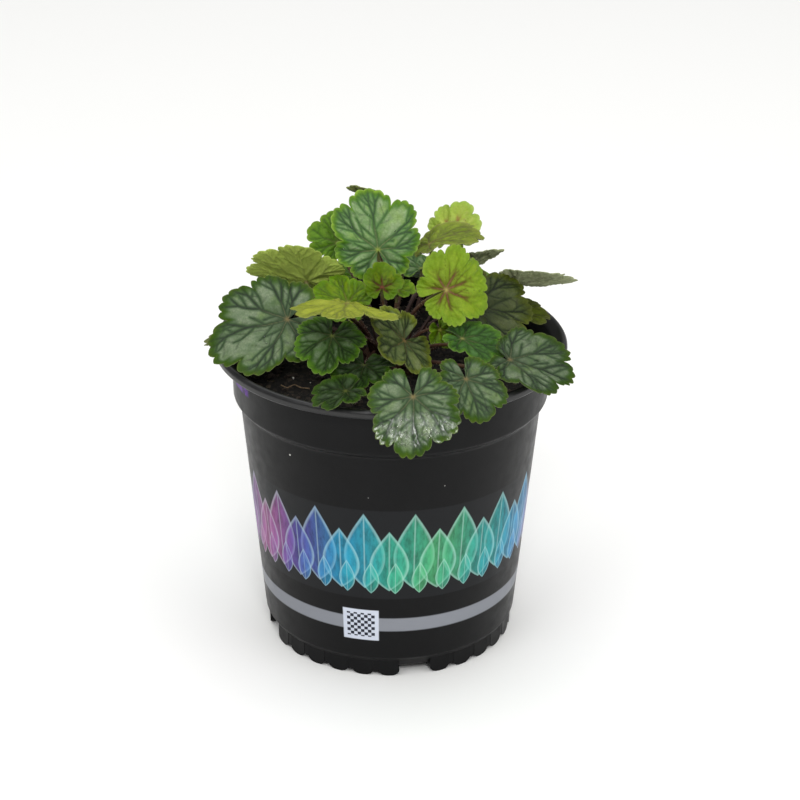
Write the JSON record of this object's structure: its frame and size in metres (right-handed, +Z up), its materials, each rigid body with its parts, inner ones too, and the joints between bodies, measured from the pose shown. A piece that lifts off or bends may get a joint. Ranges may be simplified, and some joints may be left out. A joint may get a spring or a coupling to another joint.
{
  "type": "potted heuchera plant",
  "caption": "Heuchera (coral bells) with lobed, veined, silver-green leaves on long petioles, growing in a round black nursery pot filled with potting mix.",
  "frame": {"origin": "on the ground plane, at the centre of the part's box, which is the pot's axis to within the plant's lopsided spread", "axes": "+Z up along the pot's axis, -Y towards the front of the plant, +X to its right"},
  "size_m": [0.1699, 0.1856, 0.2038],
  "materials": {
    "pot_plastic": "injection-moulded polypropylene, near-black, satin gloss",
    "potting_mix": "moist dark peat and bark mix, rough",
    "crown_bark": "rough brown bark of old leaf bases",
    "leaf": "semi-gloss leaf, puckered between sunk veins"
  },
  "bodies": {
    "root": {"pot": "pot_plastic", "potting_mix": "potting_mix", "crown": "crown_bark", "leaf_01": "leaf", "leaf_02": "leaf", "leaf_03": "leaf", "leaf_04": "leaf", "leaf_05": "leaf", "leaf_06": "leaf", "leaf_07": "leaf", "leaf_08": "leaf", "leaf_09": "leaf", "leaf_10": "leaf", "leaf_11": "leaf", "leaf_12": "leaf", "leaf_13": "leaf", "leaf_14": "leaf", "leaf_15": "leaf", "leaf_16": "leaf", "leaf_17": "leaf", "leaf_18": "leaf", "leaf_19": "leaf", "leaf_20": "leaf", "leaf_21": "leaf", "leaf_22": "leaf", "leaf_23": "leaf", "leaf_24": "leaf", "leaf_25": "leaf", "leaf_26": "leaf", "leaf_27": "leaf", "leaf_28": "leaf", "leaf_29": "leaf", "leaf_30": "leaf", "leaf_31": "leaf", "leaf_32": "leaf"}
  },
  "joints": []
}
